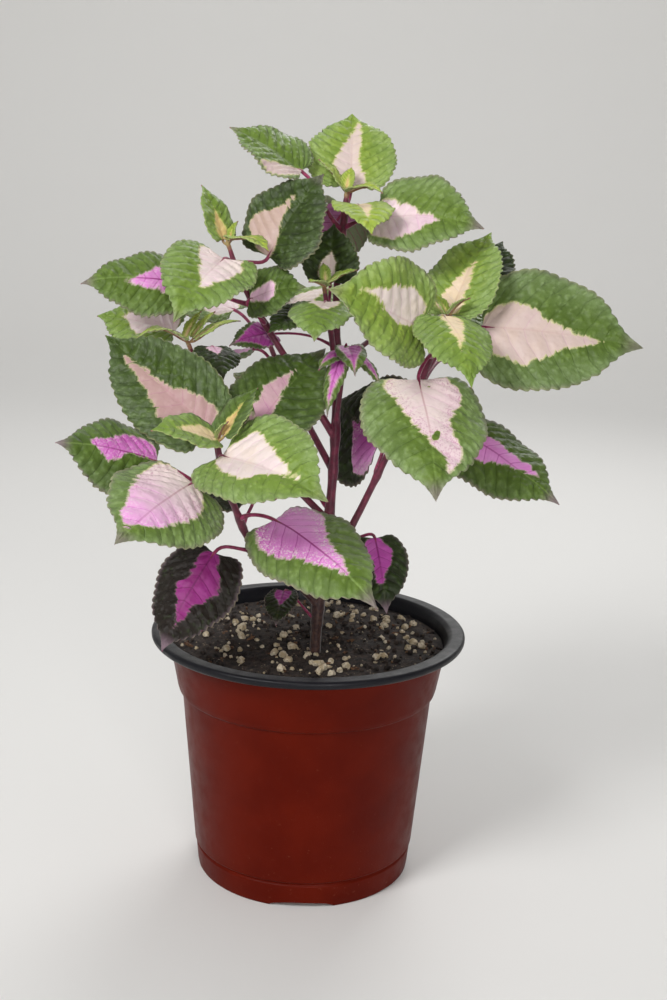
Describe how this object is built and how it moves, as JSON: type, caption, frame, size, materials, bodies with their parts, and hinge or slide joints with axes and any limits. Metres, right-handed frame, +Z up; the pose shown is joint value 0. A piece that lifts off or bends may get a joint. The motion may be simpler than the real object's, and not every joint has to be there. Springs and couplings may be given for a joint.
{
  "type": "potted coleus",
  "caption": "Bushy potted coleus with toothed green leaves, pink, magenta and cream centres, crimson petioles, in a red-brown plastic pot with a black lip.",
  "frame": {"origin": "centre of the flat pad under the pot's floor, on the surface that the pot stands on", "axes": "+Z up along the pot's axis, -Y the side that the picture shows"},
  "size_m": [0.2351, 0.2, 0.336],
  "materials": {
    "pot_plastic": "moulded red-brown plastic with a satin sheen and a black lip and inside",
    "potting_mix": "loose dark potting mix with pale grains of perlite",
    "stem_tissue": "dark crimson plant stem, soft and finely hairy",
    "young_leaf": "yellow-green toothed leaf with a cream to orange centre",
    "mature_leaf": "quilted mid-green leaf with a white-pink centre edged in cream",
    "shaded_leaf": "dark green leaf with a dusky pink centre",
    "magenta_leaf": "older leaf with a vivid magenta centre and a dark green margin"
  },
  "bodies": {
    "root": {"pot": "pot_plastic", "soil": "potting_mix", "stems": "stem_tissue", "leaf_top_1": "mature_leaf", "leaf_top_2": "young_leaf", "leaf_top_3": "mature_leaf", "leaf_top_4": "mature_leaf", "leaf_top_5": "shaded_leaf", "leaf_centre_1": "mature_leaf", "leaf_centre_2": "mature_leaf", "leaf_centre_3": "shaded_leaf", "leaf_right_1": "mature_leaf", "leaf_right_2": "mature_leaf", "leaf_right_3": "young_leaf", "leaf_right_4": "mature_leaf", "leaf_right_5": "shaded_leaf", "leaf_right_6": "mature_leaf", "leaf_right_7": "shaded_leaf", "leaf_right_8": "shaded_leaf", "leaf_left_front_1": "mature_leaf", "leaf_left_front_2": "shaded_leaf", "leaf_left_front_3": "mature_leaf", "leaf_left_front_4": "mature_leaf", "leaf_left_front_5": "magenta_leaf", "leaf_left_front_6": "shaded_leaf", "leaf_left_front_7": "magenta_leaf", "leaf_left_front_8": "magenta_leaf", "leaf_upper_left_1": "mature_leaf", "leaf_upper_left_2": "mature_leaf", "leaf_upper_left_3": "shaded_leaf", "leaf_upper_left_4": "shaded_leaf", "leaf_left_back_1": "mature_leaf", "leaf_left_back_2": "shaded_leaf", "leaf_left_back_3": "magenta_leaf", "leaf_low_1": "magenta_leaf", "leaf_low_2": "shaded_leaf", "leaf_back_left_1": "mature_leaf", "leaf_back_left_2": "mature_leaf", "leaf_back_left_3": "shaded_leaf", "leaf_back_left_4": "mature_leaf", "leaf_back_right_1": "mature_leaf", "leaf_back_right_2": "mature_leaf", "leaf_back_right_3": "shaded_leaf", "leaf_back_right_4": "magenta_leaf", "leaf_back_low_1": "magenta_leaf", "leaf_back_low_2": "magenta_leaf", "leaf_back_low_3": "shaded_leaf", "shoot_tip_top": "young_leaf", "shoot_tip_centre": "young_leaf", "shoot_tip_right": "young_leaf", "shoot_tip_left_front": "young_leaf", "shoot_tip_upper_left": "young_leaf", "shoot_tip_left_back": "young_leaf", "shoot_tip_middle": "shaded_leaf", "shoot_tip_back_left": "young_leaf", "shoot_tip_back_right": "young_leaf"}
  },
  "joints": []
}
